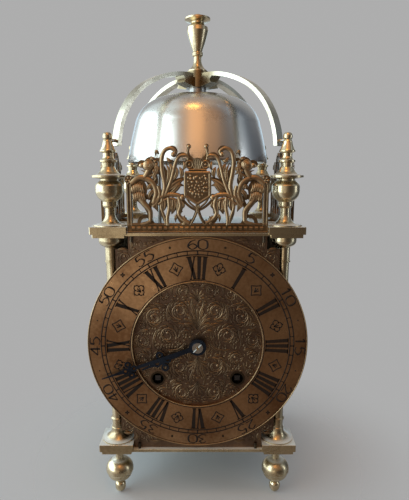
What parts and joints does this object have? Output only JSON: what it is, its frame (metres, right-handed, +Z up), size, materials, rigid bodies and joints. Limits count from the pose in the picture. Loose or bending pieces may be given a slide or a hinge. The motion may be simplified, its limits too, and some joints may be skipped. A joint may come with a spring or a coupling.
{
  "type": "lantern clock",
  "caption": "Brass lantern clock on turned feet, with a round chapter ring, pierced frets with beasts and a shield, corner urn finials and a large bell under crossed straps.",
  "frame": {"origin": "on the table, under the middle of the four pillars", "axes": "+Z up, -Y towards the viewer (out of the dial), +X to the viewer's right"},
  "size_m": [0.165, 0.1572, 0.3808],
  "materials": {
    "polished_brass": "polished, pale gold",
    "fret_brass": "darkened by age",
    "ring_brass": "warm, lacquered, brushed round",
    "dial_brass": "dark, engraved",
    "movement_brass": "satin, grained",
    "bell_metal": "silvered, turned with fine lines",
    "blued_steel": "blued, smooth",
    "steel": "satin",
    "spring_steel": "tempered blue-grey"
  },
  "bodies": {
    "frame": {"bottom_plate": "polished_brass", "top_plate": "polished_brass", "bottom_corner_blocks": "polished_brass", "top_corner_blocks": "polished_brass", "pillar_front_left": "polished_brass", "pillar_front_right": "polished_brass", "pillar_rear_left": "polished_brass", "pillar_rear_right": "polished_brass", "foot_front_left": "polished_brass", "foot_front_right": "polished_brass", "foot_rear_left": "polished_brass", "foot_rear_right": "polished_brass", "finial_front_left": "polished_brass", "finial_front_right": "polished_brass", "finial_rear_left": "polished_brass", "finial_rear_right": "polished_brass", "crown_finial": "polished_brass", "bell": "bell_metal", "bell_post": "steel", "bell_nut": "steel", "bell_strap_cross": "polished_brass", "strap_screws": "steel", "front_fret": "fret_brass", "left_fret": "fret_brass", "right_fret": "fret_brass", "fret_screws": "steel", "dial_plate": "dial_brass", "chapter_ring": "ring_brass", "dial_pins": "polished_brass", "winding_bushes": "polished_brass", "back_plate": "dial_brass", "movement_front_plate": "movement_brass", "movement_rear_plate": "movement_brass", "movement_pillars": "movement_brass", "suspension_cock": "movement_brass"},
    "left_door": {"left_door": "dial_brass"},
    "right_door": {"right_door": "dial_brass"},
    "centre_train": {"centre_wheel": "movement_brass", "cannon_pinion": "movement_brass", "minute_hand": "blued_steel", "hand_collet": "steel"},
    "hour_train": {"hour_wheel": "movement_brass", "hour_hand": "blued_steel"},
    "minute_wheel": {"minute_wheel": "movement_brass"},
    "intermediate_wheel": {"intermediate_wheel": "movement_brass"},
    "going_barrel": {"going_barrel": "movement_brass", "going_mainspring": "spring_steel"},
    "third_wheel": {"third_wheel": "movement_brass"},
    "escape_wheel": {"escape_wheel": "movement_brass"},
    "pallet_anchor": {"pallet_anchor": "steel"},
    "pendulum": {"pendulum": "movement_brass"},
    "going_arbor": {"going_arbor": "steel"},
    "strike_arbor": {"strike_arbor": "steel"},
    "going_click": {"going_click": "steel"},
    "strike_click": {"strike_click": "steel"},
    "strike_barrel": {"strike_barrel": "movement_brass", "strike_mainspring": "spring_steel"},
    "pin_wheel": {"pin_wheel": "movement_brass"},
    "fly": {"fly": "movement_brass"},
    "hammer": {"hammer": "steel"}
  },
  "joints": [
    {"name": "minute_hand_turn", "type": "hinge", "parent": "frame", "child": "centre_train", "pos_m": [0, -0.04, 0.13], "axis": [0, 1, 0], "continuous": true},
    {"name": "hour_hand_turn", "type": "hinge", "parent": "frame", "child": "hour_train", "pos_m": [0, -0.068, 0.13], "axis": [0, 1, 0], "continuous": true},
    {"name": "minute_wheel_turn", "type": "hinge", "parent": "frame", "child": "minute_wheel", "pos_m": [0, -0.06, 0.116], "axis": [0, 1, 0], "continuous": true},
    {"name": "intermediate_wheel_turn", "type": "hinge", "parent": "frame", "child": "intermediate_wheel", "pos_m": [0.01994, -0.036, 0.12593], "axis": [0, 1, 0], "continuous": true},
    {"name": "going_barrel_turn", "type": "hinge", "parent": "frame", "child": "going_barrel", "pos_m": [0.0304, -0.04, 0.103], "axis": [0, 1, 0], "continuous": true},
    {"name": "third_wheel_turn", "type": "hinge", "parent": "frame", "child": "third_wheel", "pos_m": [0.00897, -0.036, 0.14687], "axis": [0, 1, 0], "continuous": true},
    {"name": "escape_wheel_turn", "type": "hinge", "parent": "frame", "child": "escape_wheel", "pos_m": [0, -0.036, 0.16131], "axis": [0, 1, 0], "continuous": true},
    {"name": "going_winding_turn", "type": "hinge", "parent": "frame", "child": "going_arbor", "pos_m": [0.0304, -0.06, 0.103], "axis": [0, 1, 0], "continuous": true},
    {"name": "strike_winding_turn", "type": "hinge", "parent": "frame", "child": "strike_arbor", "pos_m": [-0.0304, -0.06, 0.103], "axis": [0, 1, 0], "continuous": true},
    {"name": "going_click_lift", "type": "hinge", "parent": "frame", "child": "going_click", "pos_m": [0.03665, -0.0595, 0.11382], "axis": [0, -1, 0], "range_deg": [0, 15]},
    {"name": "strike_click_lift", "type": "hinge", "parent": "frame", "child": "strike_click", "pos_m": [-0.03665, -0.0595, 0.11382], "axis": [0, 1, 0], "range_deg": [0, 15]},
    {"name": "strike_barrel_turn", "type": "hinge", "parent": "frame", "child": "strike_barrel", "pos_m": [-0.0304, -0.04, 0.103], "axis": [0, 1, 0], "continuous": true},
    {"name": "pin_wheel_turn", "type": "hinge", "parent": "frame", "child": "pin_wheel", "pos_m": [-0.03478, -0.036, 0.12782], "axis": [0, 1, 0], "continuous": true},
    {"name": "fly_turn", "type": "hinge", "parent": "frame", "child": "fly", "pos_m": [-0.02005, -0.036, 0.13632], "axis": [0, 1, 0], "continuous": true},
    {"name": "hammer_swing", "type": "hinge", "parent": "frame", "child": "hammer", "pos_m": [-0.031, -0.036, 0.152], "axis": [0, 1, 0], "range_deg": [-1, 10], "stiffness_Nm_per_rad": 0.4},
    {"name": "pendulum_swing", "type": "hinge", "parent": "frame", "child": "pendulum", "pos_m": [0, -0.0055, 0.17787], "axis": [0, 1, 0], "range_deg": [-3.5, 3.5]},
    {"name": "anchor_rock", "type": "hinge", "parent": "frame", "child": "pallet_anchor", "pos_m": [0, -0.036, 0.17787], "axis": [0, 1, 0], "range_deg": [-3.5, 3.5]},
    {"name": "right_door_hinge", "type": "hinge", "parent": "frame", "child": "right_door", "pos_m": [0.0686, 0.0485, 0.13], "axis": [0, 0, 1], "range_deg": [0, 95]},
    {"name": "left_door_hinge", "type": "hinge", "parent": "frame", "child": "left_door", "pos_m": [-0.0686, 0.0485, 0.13], "axis": [0, 0, -1], "range_deg": [0, 95]}
  ],
  "couplings": [
    {"joint": "hour_hand_turn", "follows": "minute_hand_turn", "ratio": 0.083333},
    {"joint": "minute_wheel_turn", "follows": "minute_hand_turn", "ratio": -0.33333},
    {"joint": "intermediate_wheel_turn", "follows": "minute_hand_turn", "ratio": -0.15625},
    {"joint": "going_barrel_turn", "follows": "minute_hand_turn", "ratio": 0.026042},
    {"joint": "third_wheel_turn", "follows": "minute_hand_turn", "ratio": -12},
    {"joint": "escape_wheel_turn", "follows": "minute_hand_turn", "ratio": 133.71},
    {"joint": "pin_wheel_turn", "follows": "strike_barrel_turn", "ratio": -6},
    {"joint": "fly_turn", "follows": "strike_barrel_turn", "ratio": 45},
    {"joint": "anchor_rock", "follows": "pendulum_swing", "ratio": 1}
  ]
}
